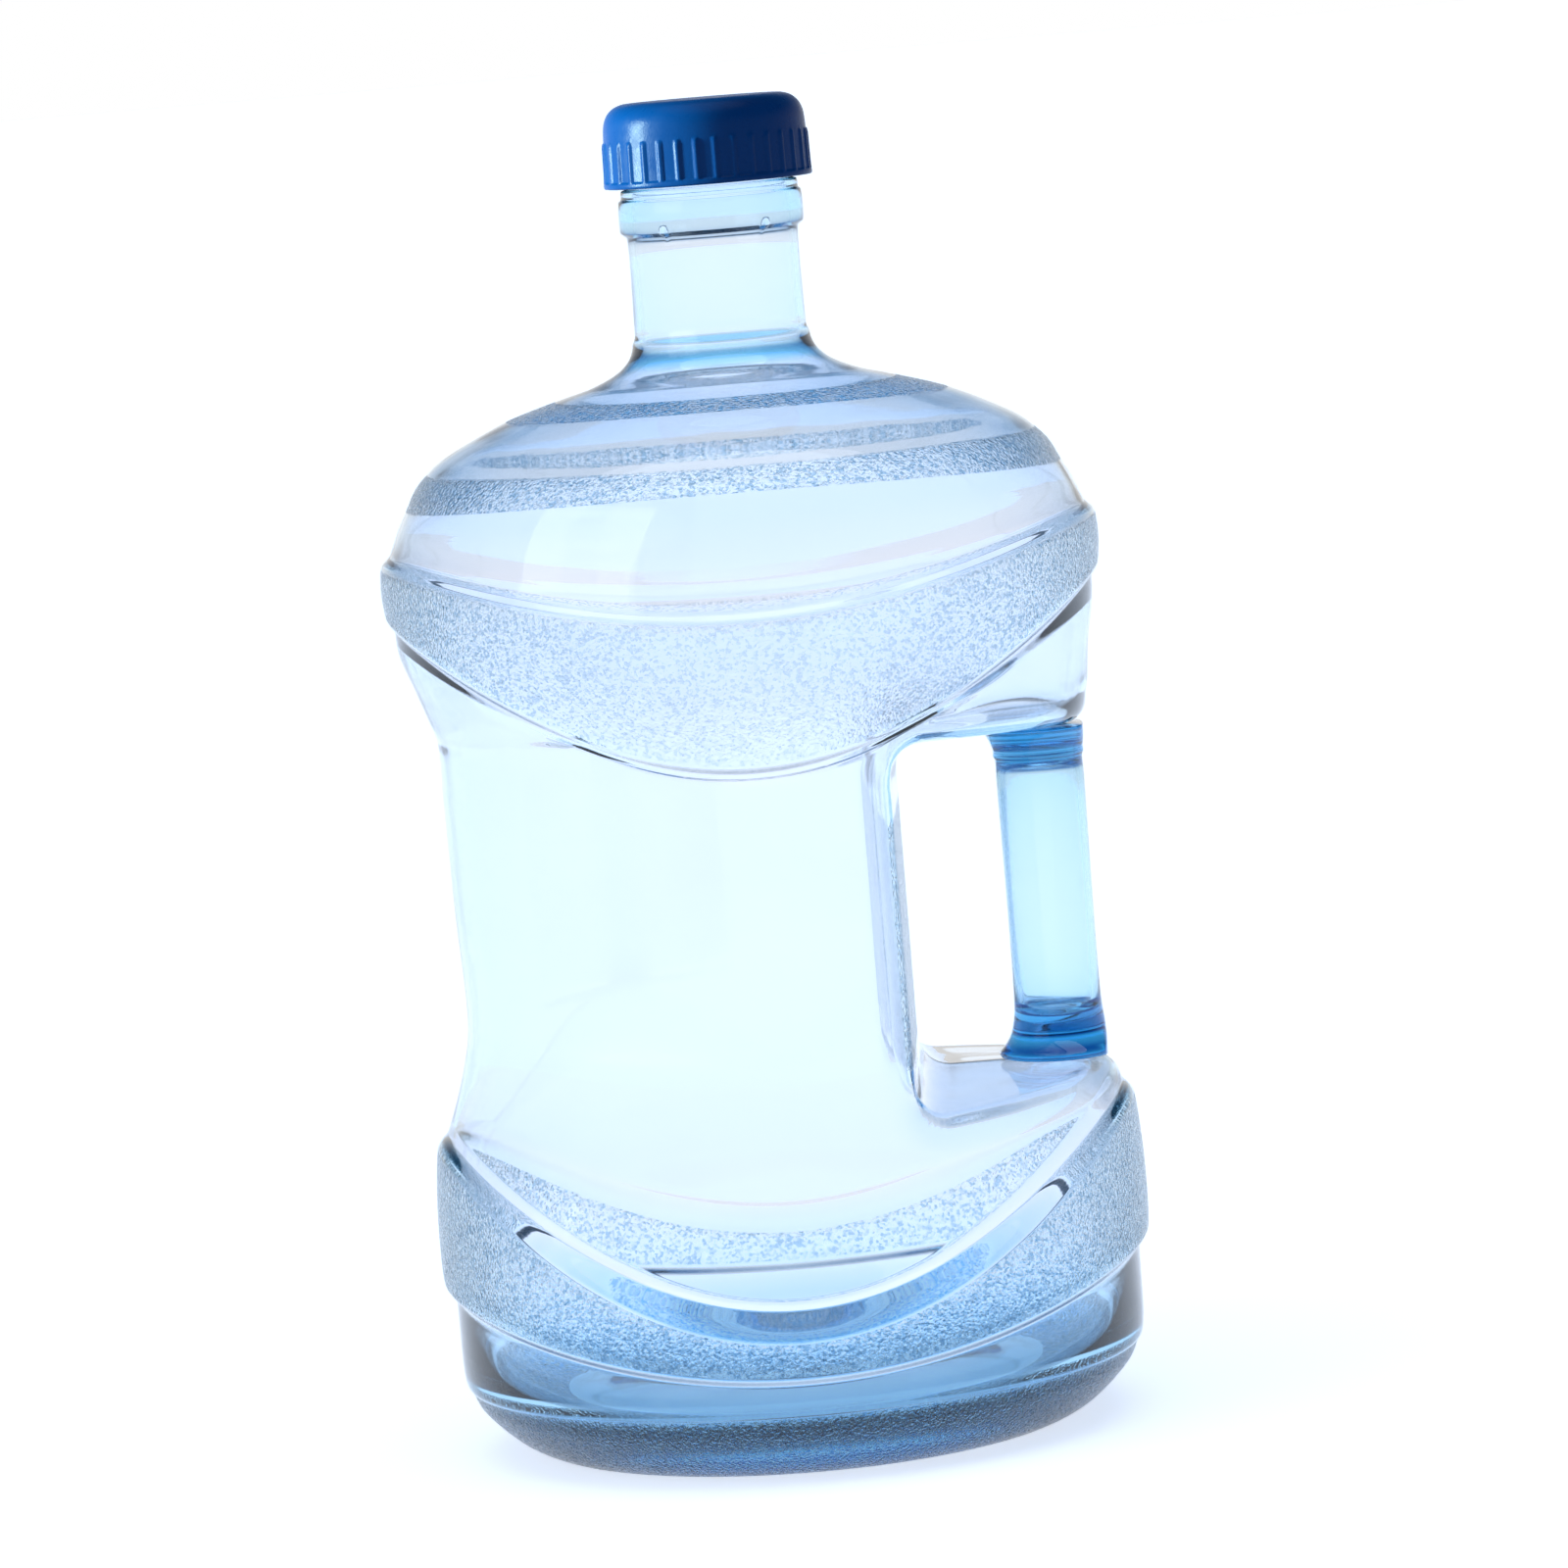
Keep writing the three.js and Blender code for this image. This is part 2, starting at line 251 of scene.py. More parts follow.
def upper_rows():
    """From the foot of the upper wave to the mouth's outer edge, and which rows are grained."""
    points = [
        row(UPPER_WAVE_FOOT, 97.2, 88.6, 97.3), row(UPPER_WAVE_BOTTOM - 0.7, 97.5, 88.9, 97.5),
        row(UPPER_WAVE_BOTTOM + 0.7, 98.9, 90.2), row(UPPER_WAVE_BOTTOM + 1.8, 99.3, 90.8),
        row(mix(UPPER_WAVE_BOTTOM, UPPER_WAVE_TOP, 0.5), BULGE_R, 96.6),
        row(UPPER_WAVE_TOP - 1.6, 99.5, 99.5), row(UPPER_WAVE_TOP - 0.5, 99.0, 99.2),
        row(UPPER_WAVE_TOP + 1.3, 97.2, 97.6), row(UPPER_WAVE_TOP + 2.4, 96.5, 97.2),
        row(mix(UPPER_WAVE_TOP, 266, 0.55), 94.3, 95.6), row(BAND_B_LOW, 91.2, 90.1),
        row(271.4, 88.2), row(275.3, 84.6), row(278.6, 80.6), row(284, 70.5), row(BAND_A_LOW, 61.5, 57.8),
        row(292.4, 47.5), row(295.6, 36.5), row(299.3, 29.0), row(302.6, 25.9), row(305.2, 24.9),
        row(306.8, 24.6), row(308.4, NECK_R + 0.1), row(311, NECK_R),
        row(COLLAR_Z - 1.0, NECK_R + 0.05), row(COLLAR_Z - 0.7, NECK_R + 0.3),
        row(COLLAR_Z + 0.1, COLLAR_R - 0.25), row(COLLAR_Z + 0.4, COLLAR_R),
        row(FINISH_Z - 0.6, COLLAR_R), row(FINISH_Z - 0.2, COLLAR_R - 0.2),
        row(FINISH_Z + 0.1, 24.8), row(FINISH_Z + 0.5, 24.6), row(FINISH_Z + 2.2, 24.6),
        row(FINISH_Z + 2.7, 24.3), row(FINISH_Z + 3, FINISH_R + 0.1), row(FINISH_Z + 3.4, FINISH_R),
        row(MOUTH_Z - 1.0, FINISH_R), row(MOUTH_Z - 0.3, FINISH_R - 0.25), row(MOUTH_Z, FINISH_R - 0.8),
    ]
    steps = [2, 3, 2, 10, 12, 2, 4, 2, 5, 6, 4, 3, 3, 5, 4, 8, 6, 5, 3, 2, 2, 2, 2,
             14, 2, 2, 2, 6, 2, 2, 2, 2, 2, 2, 2, 36, 2, 2]
    return smooth_curve(np.array(points), steps), grained_rows(steps, [(3, 5), (10, 12), (15, 16)])


# ---- the hand recess, as a smooth cut into that outside ----
def recess_depth(x, y, z):
    """How far a point is inside the recess's own hollow, negative outside it."""
    away = np.abs(y)
    left = RECESS_X - away * WALL_DRAFT
    low = RECESS_FLOOR_Z - away * SHELF_DRAFT
    high = RECESS_CEILING_Z + away * SHELF_DRAFT
    corner = RECESS_CORNER_R
    to_left = left + corner - x
    over = np.abs(z - (low + high) / 2) - ((high - low) / 2 - corner)
    outside = np.hypot(np.maximum(to_left, 0), np.maximum(over, 0))
    inside = np.minimum(np.maximum(to_left, over), 0)
    return corner - outside - inside


def jug_distance(radius, height, column, curve, shift):
    """About how far a point of a column is outside the jug's skin, or outside a skin further in by shift."""
    body_r = np.interp(height, curve[:, 1], curve[:, 0])
    slope = np.interp(height, curve[1:, 1], np.diff(curve[:, 0]) / np.maximum(np.diff(curve[:, 1]), 1e-4))
    body = (radius - body_r) / np.sqrt(1 + slope ** 2)
    cut = recess_depth(radius * SIN[column], radius * COS[column], height)
    near = np.maximum(RECESS_EDGE_R - np.abs(body - cut), 0) / RECESS_EDGE_R
    return np.maximum(body, cut) + near ** 2 * RECESS_EDGE_R / 4 + shift


def settle(points, column, curve, shift):
    """Moves a column's points, within its own upright plane, onto the skin or a skin further in."""
    radius, height = points[:, 0].copy(), points[:, 1].copy()
    step = 0.02
    for _ in range(12):
        here = jug_distance(radius, height, column, curve, shift)
        by_r = (jug_distance(radius + step, height, column, curve, shift) - here) / step
        by_z = (jug_distance(radius, height + step, column, curve, shift) - here) / step
        size = by_r ** 2 + by_z ** 2 + 1e-3
        radius -= 0.8 * here * by_r / size
        height -= 0.8 * here * by_z / size
    return np.stack([radius, height], axis=1)


def spread_out(points, count):
    """count points along a line of points, closer together towards its two ends."""
    lengths = np.concatenate([[0], np.cumsum(np.hypot(*np.diff(points, axis=0).T))])
    share = np.linspace(0, 1, count)
    spots = lengths[-1] * (share - END_CROWDING * np.sin(2 * math.pi * share) / (2 * math.pi))
    return np.stack([np.interp(spots, lengths, points[:, k]) for k in (0, 1)], axis=1)


def cut_column(curve, column):
    """One column of the waist with the recess's floor, wall and ceiling where it crosses them."""
    sine, cosine = SIN[column], abs(COS[column])
    if sine > 0.2:
        wall_r = RECESS_X / (sine + WALL_DRAFT * cosine)
        rims = []
        for level, sign in ((RECESS_FLOOR_Z, -1), (RECESS_CEILING_Z, 1)):
            rim_r = 90.0
            for _ in range(6):
                rim_z = level + sign * SHELF_DRAFT * rim_r * cosine
                rim_r = np.interp(rim_z, curve[:, 1], curve[:, 0])
            rims.append((rim_r, rim_z))
        if min(r for r, _ in rims) > wall_r + 0.3:
            (_, floor_z), (_, ceiling_z) = rims
            draft = SHELF_DRAFT * wall_r * cosine
            corner = [(wall_r, RECESS_FLOOR_Z - draft), (wall_r, RECESS_CEILING_Z + draft)]
            below = curve[curve[:, 1] < floor_z]
            above = curve[curve[:, 1] > ceiling_z]
            return np.concatenate([below, [rims[0]], corner, [rims[1]], above])
    return curve


def waist_with_recess():
    """Outer and inner points of the waist, each of shape (rows, 2, columns)."""
    plain = waist_rows()
    outer, inner = [], []
    for column in range(COLUMNS):
        curve = plain[:, :, column]
        tail = np.array([[curve[0, 0], curve[0, 1] - 30], [curve[-1, 0], curve[-1, 1] + 30]])
        longer = np.concatenate([tail[:1], curve, tail[1:]])
        spread = spread_out(cut_column(curve, column), ZONE_ROWS)
        skin = settle(spread, column, longer, 0.0)
        skin[0], skin[-1] = curve[0], curve[-1]
        outer.append(skin)
        inner.append(settle(skin, column, longer, WALL))
    return np.moveaxis(np.array(outer), 0, 2), np.moveaxis(np.array(inner), 0, 2)


def wall_depth(height):
    """The wall's thickness: blown thin, but heavy round the base's edge and where the neck begins."""
    base = np.clip((BASE_EXTRA_TOP_Z - height) / BASE_EXTRA_FADE, 0, 1)
    neck = np.clip(1 - np.abs(height - NECK_FOOT_Z) / NECK_FOOT_FADE, 0, 1)
    return WALL + BASE_EXTRA * base + NECK_FOOT_EXTRA * neck


def pushed_in(rows):
    """Rows of points moved square to the skin by the wall's thickness."""
    along = np.gradient(rows, axis=0)
    along /= np.maximum(np.hypot(along[:, 0], along[:, 1]), 1e-9)[:, None]
    depth = wall_depth(rows[:, 1])
    return np.stack([rows[:, 0] - depth * along[:, 1], rows[:, 1] + depth * along[:, 0]], axis=1)


def eased(rows, rounds):
    """Rows with small steps smoothed away, as on the inside of a blown wall."""
    for _ in range(rounds):
        rows[1:-1] = 0.25 * rows[:-2] + 0.5 * rows[1:-1] + 0.25 * rows[2:]
    return rows


def soft_inside(rows, rounds):
    """The inside of a stretch without the recess: rounder than the outside, and at least a thin wall away."""
    inner = eased(pushed_in(rows), rounds)
    for column in range(COLUMNS):
        upright = rows[rows[:, 1, column] > 3, :, column]
        limit = np.interp(inner[:, 1, column], upright[:, 1], upright[:, 0]) - THIN_WALL
        inner[:, 0, column] = np.minimum(inner[:, 0, column], limit)
    return inner


def neck_thread(rows):
    """Raises the screw thread's ridge on the neck, above the collar."""
    for column in range(COLUMNS):
        angle = (TURN[column] - math.pi / 2) % (2 * math.pi)
        for lap in range(3):
            along = lap + angle / (2 * math.pi)
            if along > NECK_THREAD_TURNS:
                continue
            fade = min(1.0, min(along, NECK_THREAD_TURNS - along) * 10)
            off = np.abs(rows[:, 1, column] - NECK_THREAD_START - along * THREAD_LEAD)
            ridge = np.clip((RIDGE_HALF - off) / RIDGE_FLANK, 0, 1)
            on_neck = rows[:, 0, column] < FINISH_R + 0.4
            rows[:, 0, column] += NECK_THREAD_HEIGHT * fade * ridge * on_neck


def shell_points():
    """The outside's rows of points, the inside's, and which rows of the outside's faces are grained."""
    lower, lower_grained = lower_rows()
    upper, upper_grained = upper_rows()
    waist_out, waist_in = waist_with_recess()
    outer = np.concatenate([lower[:-1], waist_out, upper[1:]])
    near_neck = np.clip((upper[:, 1] - 281) / 10, 0, 1)[:, None]
    upper_in = mix(soft_inside(upper, SHOULDER_EASING), soft_inside(upper, NECK_FOOT_EASING), near_neck)
    inner = np.concatenate([
        soft_inside(lower, BASE_EASING)[:-4],
        waist_in[JOIN_ROWS:-JOIN_ROWS],
        upper_in[4:],
    ])
    bore = inner[:, 1, 0] > BORE_LOW_Z
    inner[bore, 0] = NECK_R - NECK_WALL
    inner = eased(inner, LAST_EASING)
    inner[-1] = np.array([outer[-1, 0] - 0.5, outer[-1, 1]])
    inner[-2] = np.array([0 * COS + NECK_R - NECK_WALL, outer[-1, 1] - 0.5])
    keep = inner[:, 1, 0] < MOUTH_Z - 0.55
    keep[-2:] = True
    neck_thread(outer)
    grained = np.concatenate([lower_grained, np.zeros(ZONE_ROWS - 1, bool), upper_grained])
    return outer, inner[keep], grained


def in_space(rows):
    """Rows of radius and height as points in metres, with column 0 at the front."""
    radius, height = rows[:, 0], rows[:, 1]
    return np.stack([radius * SIN, -radius * COS, height], axis=2).reshape(-1, 3) * MM


def on_recess_wall(x, y, z):
    """True on the strip of the recess's upright wall that is grained."""
    on_wall = abs(x - RECESS_X + WALL_DRAFT * abs(y)) < 0.5 and math.hypot(x, y) < 84
    return RECESS_GRAIN_LOW_Z < z < RECESS_GRAIN_HIGH_Z and on_wall


def lug_points():
    """The two small lugs at the front of the collar's lower edge, as (x, y, z)."""
    return [(x, -math.sqrt(COLLAR_R ** 2 - x ** 2), COLLAR_Z - LUG_DROP) for x in LUG_X]


def raise_lugs(points):
    """Small round lugs on the collar's lower edge: the skin is pushed out over each."""
    for x, y, z in lug_points():
        centre = np.array([x, y, z]) * MM
        gap = np.linalg.norm(points - centre, axis=1) / MM
        near = gap < LUG_R + 0.4
        height = np.sqrt(np.maximum(LUG_R ** 2 - gap[near] ** 2, 0))
        flat = points[near] * [1, 1, 0]
        outward = flat / np.linalg.norm(flat, axis=1)[:, None]
        points[near] += outward * height[:, None] * LUG_HEIGHT_SHARE * MM
    return points


def make_shell(material):
    """The hollow body: an outside and an inside skin that meet round the mouth."""
    outer, inner, grained_row = shell_points()
    outside = raise_lugs(in_space(outer))
    inside = in_space(inner)
    rows_out, rows_in = len(outer), len(inner)
    vertices = np.concatenate([outside, inside])
    shift = rows_out * COLUMNS
    faces = grid_faces(rows_out, COLUMNS)
    faces += [tuple(v + shift for v in f) for f in grid_faces(rows_in, COLUMNS, flip=True)]
    top_out = (rows_out - 1) * COLUMNS
    top_in = shift + (rows_in - 1) * COLUMNS
    for j in range(COLUMNS):
        k = (j + 1) % COLUMNS
        faces.append((top_out + j, top_out + k, top_in + k, top_in + j))
    faces.append(tuple(range(COLUMNS))[::-1])
    faces.append(tuple(shift + j for j in range(COLUMNS)))
    shell = mesh_object("jug_body", vertices, faces)
    shell.data.materials.append(material)
    grain = np.zeros(len(shell.data.polygons))
    for face in shell.data.polygons[:(rows_out - 1) * COLUMNS]:
        x, y, z = face.center / MM
        # the grain fades by up to half towards the front and back middle between two heights, making those
        # parts paler and clearer
        grain_fade = GRAIN_FADE_SHARE * (1 - min(1, (x / GRAIN_FADE_REACH) ** 2)) * (GRAIN_FADE_LOW_Z < z < GRAIN_FADE_HIGH_Z)
        frosted = grained_row[face.index // COLUMNS] or on_recess_wall(x, y, z)
        grain[face.index] = frosted * (1 - grain_fade)
    shell.data.attributes.new("grain", "FLOAT", "FACE").data.foreach_set("value", grain)
    return shell


# ---- the grip bar ----
def make_grip(material):
    """A thick-walled bar that swells into a foot below and a collar above."""
    low, high = RECESS_FLOOR_Z + 0.35, RECESS_CEILING_Z - 0.35
    outline = np.array([
        (0.5, low), (15.5, low), (17.0, low + 0.4), (17.3, low + 1.4), (15.6, low + 3.4), (13.9, low + 6.2),
        (12.9, low + 9.5), (GRIP_R, low + 14), (GRIP_R, high - 14), (GRIP_R, high - 8.6),
        (GRIP_R + 0.5, high - 7.6), (GRIP_R + 0.3, high - 6.4), (GRIP_R + 0.9, high - 4.2),
        (14.4, high - 1.6), (15.3, high - 0.5), (14.9, high), (0.5, high),
    ])
    columns = GRIP_COLUMNS
    turn = np.arange(columns) * 2 * math.pi / columns
    steps = [2, 3, 2, 3, 3, 3, 4, 24, 4, 2, 2, 3, 3, 2, 2, 2]
    rows = smooth_curve(outline[:, :, None] + np.zeros(columns), steps)
    # the side away from the jug is held back to the jug's own round outline
    limit = GRIP_X + GRIP_R + 0.7
    x = GRIP_X + rows[:, 0] * np.cos(turn)
    y = rows[:, 0] * np.sin(turn) * GRIP_DEPTH_SCALE
    reach = np.sqrt(np.maximum(limit ** 2 - y ** 2, 0))
    over = np.maximum(x - reach + 0.6, 0)
    x = np.where(over > 0, reach - 0.6 + 0.6 * (1 - np.exp(-over / 0.6)), x)
    outside = np.stack([x, y, rows[:, 1]], axis=2).reshape(-1, 3)
    bore = np.array([
        (0.5, low + 11), (6.5, low + 11.4), (9.2, low + 13.5), (9.9, low + 17), (9.9, high - 14),
        (9.2, high - 10.5), (6.5, high - 8.6), (0.5, high - 8.2),
    ])
    inner_rows = smooth_curve(bore[:, :, None] + np.zeros(columns), [3, 3, 3, 12, 3, 3, 3])
    inside = np.stack([
        GRIP_X + inner_rows[:, 0] * np.cos(turn),
        inner_rows[:, 0] * np.sin(turn) * GRIP_DEPTH_SCALE,
        inner_rows[:, 1],
    ], axis=2).reshape(-1, 3)
    faces = grid_faces(len(rows), columns)
    shift = len(outside)
    faces += [tuple(v + shift for v in f) for f in grid_faces(len(inner_rows), columns, flip=True)]
    ring = tuple(range(columns))
    faces.append(ring[::-1])
    faces.append(tuple(shift - columns + v for v in ring))
    faces.append(tuple(shift + v for v in ring))
    faces.append(tuple(shift + len(inside) - columns + v for v in ring)[::-1])
    grip = mesh_object("grip_bar", np.concatenate([outside, inside]) * MM, faces)
    grip.data.materials.append(material)
    return grip


# ---- the screw cap ----
def make_cap(material):
    """A ribbed cap with a plain rim, a round shoulder, and the thread inside."""
    columns = RIB_COUNT * COLUMNS_PER_RIB
    turn = np.arange(columns) * 2 * math.pi / columns
    outline = np.array([
        (0.3, CAP_TOP_Z), (12, CAP_TOP_Z), (20.4, CAP_TOP_Z),
        (22.6, CAP_TOP_Z - 0.25), (24.9, CAP_TOP_Z - 1.2),
        (26.7, CAP_TOP_Z - 3.0), (27.7, CAP_TOP_Z - 5.4), (28.0, CAP_TOP_Z - 8),
        (28.1, CAP_TOP_Z - 10.2), (28.12, CAP_TOP_Z - 10.7), (CAP_R, CAP_BOTTOM_Z + 2.3),
        (CAP_R + 0.05, CAP_BOTTOM_Z + 1.9), (CAP_RIM_R - 0.15, CAP_BOTTOM_Z + 1.5),
        (CAP_RIM_R, CAP_BOTTOM_Z + 1.2), (CAP_RIM_R, CAP_BOTTOM_Z + 0.4),
        (CAP_RIM_R - 0.3, CAP_BOTTOM_Z), (CAP_BORE_R + 0.8, CAP_BOTTOM_Z),
        (CAP_BORE_R + 0.1, CAP_BOTTOM_Z + 0.7), (CAP_BORE_R, CAP_BOTTOM_Z + 1.2),
        (CAP_BORE_R, CAP_TOP_Z - CAP_TOP_WALL - 0.8), (CAP_BORE_R - 0.6, CAP_TOP_Z - CAP_TOP_WALL),
        (10, CAP_TOP_Z - CAP_TOP_WALL), (0.3, CAP_TOP_Z - CAP_TOP_WALL),
    ])
    steps = [4, 4, 3, 4, 4, 4, 3, 2, 2, 6, 2, 2, 2, 2, 2, 2, 2, 2, 40, 2, 4, 4]
    rows = smooth_curve(outline[:, :, None] + np.zeros(columns), steps)
    radius, height = rows[:, 0], rows[:, 1]
    outside = np.arange(len(rows)) < sum(steps[:15])
    wave = 0.5 + 0.5 * np.cos(turn * RIB_COUNT)
    rib = np.clip((wave - 0.72) / 0.2, 0, 1)
    rib = rib * rib * (3 - 2 * rib)
    span = np.clip((height - CAP_BOTTOM_Z - 1.4) / 0.5, 0, 1)
    span = span * np.clip((CAP_TOP_Z - 10.3 - height) / 0.6, 0, 1)
    radius = radius + 0.5 * rib * span * outside[:, None]
    for lap in range(2):
        along = lap + turn / (2 * math.pi)
        fade = np.clip(np.minimum(along, CAP_THREAD_TURNS - along) * 10, 0, 1)
        off = np.abs(height - CAP_THREAD_START - along * THREAD_LEAD)
        ridge = np.clip((RIDGE_HALF - off) / RIDGE_FLANK, 0, 1)
        in_bore = ~outside[:, None] * (radius > CAP_BORE_R - 2.2)
        radius = radius - CAP_THREAD_HEIGHT * fade * ridge * in_bore
    points = np.stack([radius * np.cos(turn), radius * np.sin(turn), height], axis=2).reshape(-1, 3)
    faces = grid_faces(len(rows), columns, flip=True)
    ring = tuple(range(columns))
    faces.append(ring)
    faces.append(tuple(len(points) - columns + v for v in ring)[::-1])
    cap = mesh_object("screw_cap", points * MM, faces)
    cap.data.materials.append(material)
    return cap


def make_liner(material):
    """A soft sealing disc with a raised bead where it meets the mouth's rim."""
    low, high = MOUTH_Z + 0.32, CAP_TOP_Z - CAP_TOP_WALL - 0.32
    outline = np.array([
        (0.3, low + 0.25), (19.0, low + 0.25), (20.6, low + 0.2), (21.4, low), (23.4, low),
        (24.2, low + 0.15), (25.2, low + 0.2), (25.4, low + 0.45), (25.4, high - 0.3),
        (25.1, high), (12, high), (0.3, high),
    ])
    columns = LINER_COLUMNS
    turn = np.arange(columns) * 2 * math.pi / columns
    rows = smooth_curve(outline[:, :, None] + np.zeros(columns), [6, 2, 2, 3, 2, 2, 2, 3, 2, 6, 4])
    radius, height = rows[:, 0], rows[:, 1]
    points = np.stack([radius * np.cos(turn), radius * np.sin(turn), height], axis=2).reshape(-1, 3)
    faces = grid_faces(len(rows), columns)
    ring = tuple(range(columns))
    faces.append(ring[::-1])
    faces.append(tuple(len(points) - columns + v for v in ring))
    disc = mesh_object("sealing_disc", points * MM, faces)
    disc.data.materials.append(material)
    return disc


# ---- materials ----
class Nodes:
    """A material's node tree with short ways to add and join nodes."""

    def __init__(self, name):
        self.material = bpy.data.materials.new(name)
        self.material.use_nodes = True
        self.tree = self.material.node_tree
        self.shader = self.tree.nodes["Principled BSDF"]
        self.output = self.tree.nodes["Material Output"]
        self.place = self.add("ShaderNodeTexCoord").outputs["Object"]

    def add(self, kind, **values):
        node = self.tree.nodes.new(kind)
        for key, value in values.items():
            if hasattr(node, key) and not key[0].isupper():
                setattr(node, key, value)
            else:
                node.inputs[key.replace("_", " ")].default_value = value
        return node

    def join(self, a, b):
        self.tree.links.new(a, b)

    def noise(self, scale, detail=3.0, stretch=None):
        node = self.add("ShaderNodeTexNoise", Scale=scale, Detail=detail)
        place = self.place
        if stretch:
            mapping = self.add("ShaderNodeMapping")
            mapping.inputs["Scale"].default_value = stretch
            self.join(self.place, mapping.inputs["Vector"])
            place = mapping.outputs["Vector"]
        self.join(place, node.inputs["Vector"])
        return node.outputs["Fac"]

    def spread(self, source, low, high, start=0.3, end=0.7):
        node = self.add("ShaderNodeMapRange")
        for key, value in (("From Min", start), ("From Max", end), ("To Min", low), ("To Max", high)):
            node.inputs[key].default_value = value
        self.join(source, node.inputs["Value"])
        return node.outputs["Result"]

    def tinted(self, source, dark, light):
        node = self.add("ShaderNodeMix", data_type="RGBA")
        node.inputs[6].default_value = (*dark, 1)
        node.inputs[7].default_value = (*light, 1)
        self.join(source, node.inputs[0])
        return node.outputs[2]

    def blend(self, share, a, b, kind="RGBA"):
        node = self.add("ShaderNodeMix", data_type=kind)
        first, second, result = (6, 7, 2) if kind == "RGBA" else (2, 3, 0)
        self.join(share, node.inputs[0])
        self.join(a, node.inputs[first])
        self.join(b, node.inputs[second])
        return node.outputs[result]

    def stained(self, colour, height, stops):
        """The colour multiplied by tints that change with height, given as (height, tint) pairs in mm."""
        share = self.add("ShaderNodeMapRange")
        share.inputs["From Max"].default_value = MOUTH_Z * MM
        self.join(height, share.inputs["Value"])
        ramp = self.add("ShaderNodeValToRGB")
        while len(ramp.color_ramp.elements) < len(stops):
            ramp.color_ramp.elements.new(0.5)
        for element, (level, tint) in zip(ramp.color_ramp.elements, stops):
            element.position = level / MOUTH_Z
            element.color = (*tint, 1)
        self.join(share.outputs["Result"], ramp.inputs[0])
        node = self.add("ShaderNodeMix", data_type="RGBA", blend_type="MULTIPLY")
        node.inputs[0].default_value = 1.0
        self.join(colour, node.inputs[6])
        self.join(ramp.outputs[0], node.inputs[7])
        return node.outputs[2]

    def bump(self, source, distance, strength=1.0, under=None):
        node = self.add("ShaderNodeBump", Strength=strength, Distance=distance)
        self.join(source, node.inputs["Height"])
        if under is not None:
            self.join(under, node.inputs["Normal"])
        return node.outputs["Normal"]

    def absorb(self, colour, density):
        node = self.add("ShaderNodeVolumeAbsorption", Density=density)
        node.inputs["Color"].default_value = (*colour, 1)
        self.join(node.outputs[0], self.output.inputs["Volume"])


# The plastic's own tint, how strongly each piece takes it, and the shell's further tints by height.
TINT = (0.02, 0.65, 0.86)
CLEAR_DENSITY = 68
GRIP_DENSITY = 112
GRANULE_SCALE = 1150
PLAIN = (1.0, 1.0, 1.0)
HEIGHT_TINTS = [
    (0, (0.72, 0.90, 1.0)), (24, (0.76, 0.92, 1.0)), (50, PLAIN),
    (299, PLAIN), (300.5, (0.45, 0.76, 0.92)), (304.5, (0.45, 0.76, 0.92)), (306, PLAIN),
]


def clear_plastic():
    """The jug's plastic: clear and faintly rippled, and grained as far as the "grain" attribute says."""
    n = Nodes("clear_blue_plastic")
    s = n.shader
    s.inputs["Transmission Weight"].default_value = 1.0
    s.inputs["IOR"].default_value = 1.5
    grain = n.add("ShaderNodeAttribute", attribute_name="grain").outputs["Fac"]
    pits = n.noise(GRANULE_SCALE, 1)
    clear = n.tinted(n.spread(n.noise(22), 0, 1), (0.985, 0.948, 0.985), (0.995, 0.958, 0.992))
    granules = n.add("ShaderNodeTexVoronoi", Scale=GRANULE_SCALE)
    shade = n.add("ShaderNodeSeparateXYZ")
    height = n.add("ShaderNodeSeparateXYZ")
    n.join(n.place, granules.inputs["Vector"])
    n.join(granules.outputs["Color"], shade.inputs[0])
    n.join(n.place, height.inputs[0])
    pale = n.tinted(n.spread(shade.outputs["X"], 0, 1, 0.15, 0.6), (0.24, 0.40, 0.54), (1.0, 1.0, 1.0))
    deep = n.tinted(n.spread(shade.outputs["X"], 0, 1, 0.1, 0.9), (0.10, 0.42, 0.80), (1.0, 1.0, 1.0))
    below = n.spread(height.outputs["Z"], 1, 0, 0.014, 0.022)
    above = n.spread(height.outputs["Z"], 0, 1, 0.284, 0.286)
    ends = n.add("ShaderNodeMath", operation="MAXIMUM")
    n.join(below, ends.inputs[0])
    n.join(above, ends.inputs[1])
    colour = n.blend(grain, clear, n.blend(ends.outputs[0], pale, deep))
    n.join(n.stained(colour, height.outputs["Z"], HEIGHT_TINTS), s.inputs["Base Color"])
    smooth = n.spread(n.noise(160, 4), 0.01, 0.04)
    rough = n.spread(pits, 0.30, 0.10, 0.35, 0.6)
    n.join(n.blend(grain, smooth, rough, "FLOAT"), s.inputs["Roughness"])
    ripples = n.bump(n.noise(38, 1, (1, 1, 0.5)), 0.0006, 0.3)
    pit_depth = n.add("ShaderNodeMath", operation="MULTIPLY")
    n.join(pits, pit_depth.inputs[0])
    n.join(grain, pit_depth.inputs[1])
    n.join(n.bump(pit_depth.outputs[0], 0.0004, 1.0, ripples), s.inputs["Normal"])
    n.absorb(TINT, CLEAR_DENSITY)
    return n.material


def grip_plastic():
    n = Nodes("tinted_grip_plastic")
    s = n.shader
    s.inputs["Transmission Weight"].default_value = 1.0
    s.inputs["IOR"].default_value = 1.5
    colour = n.tinted(n.spread(n.noise(30), 0, 1), (0.955, 0.958, 0.99), (0.98, 0.968, 1.0))
    n.join(colour, s.inputs["Base Color"])
    n.join(n.spread(n.noise(180, 3), 0.03, 0.10), s.inputs["Roughness"])
    n.join(n.bump(n.noise(50, 1, (1, 1, 0.3)), 0.0004, 0.3), s.inputs["Normal"])
    n.absorb(TINT, GRIP_DENSITY)
    return n.material


